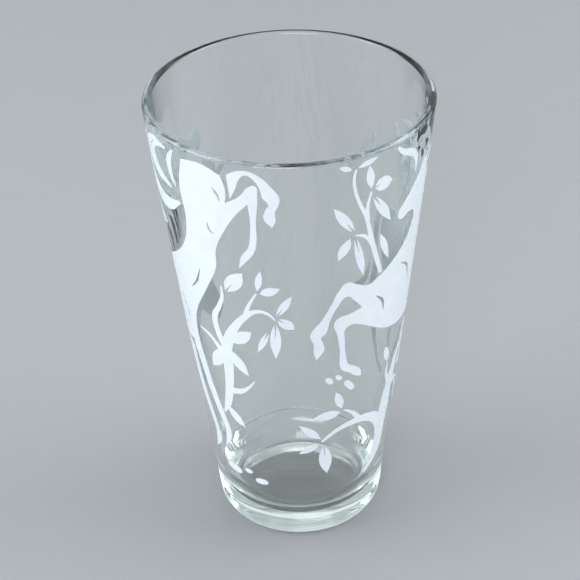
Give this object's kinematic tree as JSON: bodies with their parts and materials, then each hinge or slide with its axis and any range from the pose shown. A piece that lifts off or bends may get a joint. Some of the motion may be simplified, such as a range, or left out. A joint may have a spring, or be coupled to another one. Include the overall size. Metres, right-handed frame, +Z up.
{
  "type": "pint glass",
  "caption": "Tapered clear drinking glass with a heavy foot and a rounded rim, printed outside in white enamel with leaping horses, branches and leaves.",
  "frame": {"origin": "middle of the plane that the foot stands on", "axes": "+Z up along the axis of the glass, -Y towards the front gap between the two printed scenes, +X to the right"},
  "size_m": [0.084, 0.084, 0.151],
  "materials": {
    "glass": "clear soda-lime glass with a faint green tint in the heavy foot, fire-polished",
    "enamel": "white fired enamel, satin, screen-printed"
  },
  "bodies": {
    "root": {"glass": "glass", "left_horse_body": "enamel", "left_horse_kicking_leg": "enamel", "left_horse_planted_leg": "enamel", "left_leaf_1": "enamel", "left_leaf_2": "enamel", "left_leaf_3": "enamel", "left_leaf_4": "enamel", "left_leaf_5": "enamel", "left_leaf_6": "enamel", "left_leaf_7": "enamel", "left_mane_lock_1": "enamel", "left_mane_lock_2": "enamel", "left_mane_lock_3": "enamel", "left_pebble_1": "enamel", "left_pebble_2": "enamel", "left_pebble_3": "enamel", "left_sprig": "enamel", "left_tail_lock_1": "enamel", "left_tail_lock_2": "enamel", "left_tail_lock_3": "enamel", "left_tail_lock_4": "enamel", "left_tree": "enamel", "right_horse_body": "enamel", "right_horse_far_leg": "enamel", "right_leaf_1": "enamel", "right_leaf_10": "enamel", "right_leaf_11": "enamel", "right_leaf_12": "enamel", "right_leaf_13": "enamel", "right_leaf_14": "enamel", "right_leaf_15": "enamel", "right_leaf_16": "enamel", "right_leaf_17": "enamel", "right_leaf_18": "enamel", "right_leaf_19": "enamel", "right_leaf_2": "enamel", "right_leaf_3": "enamel", "right_leaf_4": "enamel", "right_leaf_5": "enamel", "right_leaf_6": "enamel", "right_leaf_7": "enamel", "right_leaf_8": "enamel", "right_leaf_9": "enamel", "right_mane_lock_1": "enamel", "right_mane_lock_2": "enamel", "right_mane_lock_3": "enamel", "right_pebble_1": "enamel", "right_pebble_2": "enamel", "right_pebble_3": "enamel", "right_sprig": "enamel", "right_stem": "enamel", "right_tail_lock_1": "enamel", "right_tail_lock_2": "enamel", "right_tree": "enamel", "right_vine": "enamel"}
  },
  "joints": []
}
